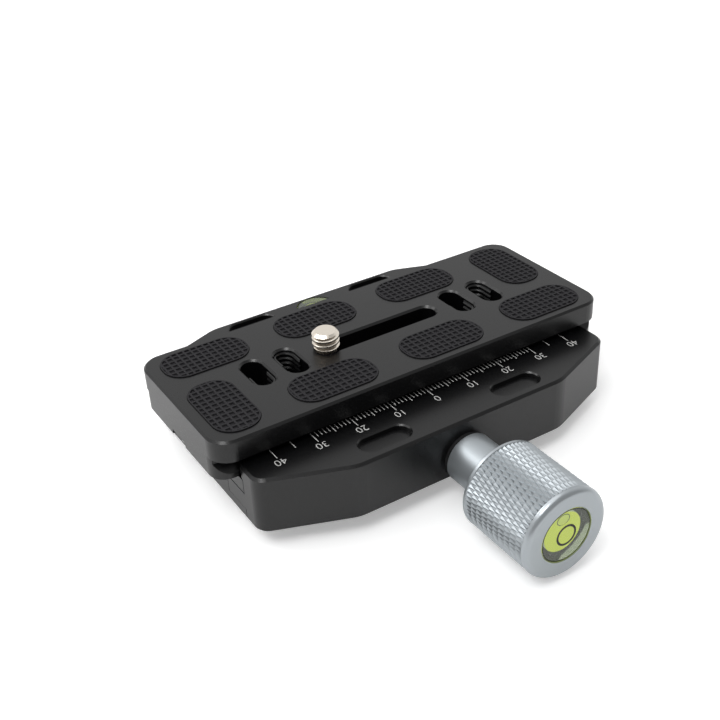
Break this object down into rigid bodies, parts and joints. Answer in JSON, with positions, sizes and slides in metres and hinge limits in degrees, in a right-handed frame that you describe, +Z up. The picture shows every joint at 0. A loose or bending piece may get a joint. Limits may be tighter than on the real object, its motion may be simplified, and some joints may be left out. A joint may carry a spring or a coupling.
{
  "type": "camera quick-release clamp with plate",
  "caption": "Screw-knob dovetail clamp for a tripod head, holding a quick-release camera plate with rubber pads, camera screw and bullseye levels.",
  "frame": {"origin": "centre of the tripod thread in the base's underside", "axes": "+X along the jaws, the knob points to -Y, +Z up through the plate and the camera screw"},
  "size_m": [0.105, 0.1023, 0.031],
  "materials": {
    "black_anodised": "satin black anodised",
    "silver_anodised": "satin silver anodised",
    "plated_steel": "zinc plated",
    "stainless_steel": "turned, bright",
    "black_nylon": "matt",
    "pad_rubber": "matt, waffle pattern",
    "clear_acrylic": "polished",
    "level_liquid": "clear yellow-green",
    "vial_plug": "smooth"
  },
  "bodies": {
    "base": {"clamp_body": "black_anodised", "jaw_vial": "clear_acrylic", "jaw_vial_fluid": "level_liquid", "jaw_vial_base": "vial_plug", "return_springs": "plated_steel"},
    "jaw": {"moving_jaw": "black_anodised", "thrust_washer": "black_nylon"},
    "knob": {"clamp_knob": "silver_anodised", "clamp_screw": "plated_steel", "screw_clip": "plated_steel", "knob_vial": "clear_acrylic", "knob_vial_fluid": "level_liquid", "knob_vial_base": "vial_plug"},
    "plate": {"quick_plate": "black_anodised", "stop_screws": "stainless_steel", "pad_1": "pad_rubber", "pad_2": "pad_rubber", "pad_3": "pad_rubber", "pad_4": "pad_rubber", "pad_5": "pad_rubber", "pad_6": "pad_rubber", "pad_7": "pad_rubber", "pad_8": "pad_rubber"},
    "screw_slider": {"camera_screw_washer": "stainless_steel"},
    "camera_screw": {"camera_screw": "stainless_steel"}
  },
  "joints": [
    {"name": "jaw_slide", "type": "slide", "parent": "base", "child": "jaw", "axis": [0, -1, 0], "range_m": [0, 0.005], "deforming": ["return_springs"]},
    {"name": "knob_turn", "type": "hinge", "parent": "jaw", "child": "knob", "pos_m": [0, -0.0347, 0.00485], "axis": [0, -1, 0], "range_deg": [0, 1800]},
    {"name": "plate_slide", "type": "slide", "parent": "base", "child": "plate", "axis": [1, 0, 0], "range_m": [-0.0005, 0.0005]},
    {"name": "camera_screw_slide", "type": "slide", "parent": "plate", "child": "screw_slider", "axis": [1, 0, 0], "range_m": [0, 0.028]},
    {"name": "camera_screw_turn", "type": "hinge", "parent": "screw_slider", "child": "camera_screw", "pos_m": [-0.01405, 0, 0.0227], "axis": [0, 0, 1], "continuous": true}
  ],
  "couplings": [
    {"joint": "knob_turn", "follows": "jaw_slide", "rad_per_m": 6283.2}
  ]
}
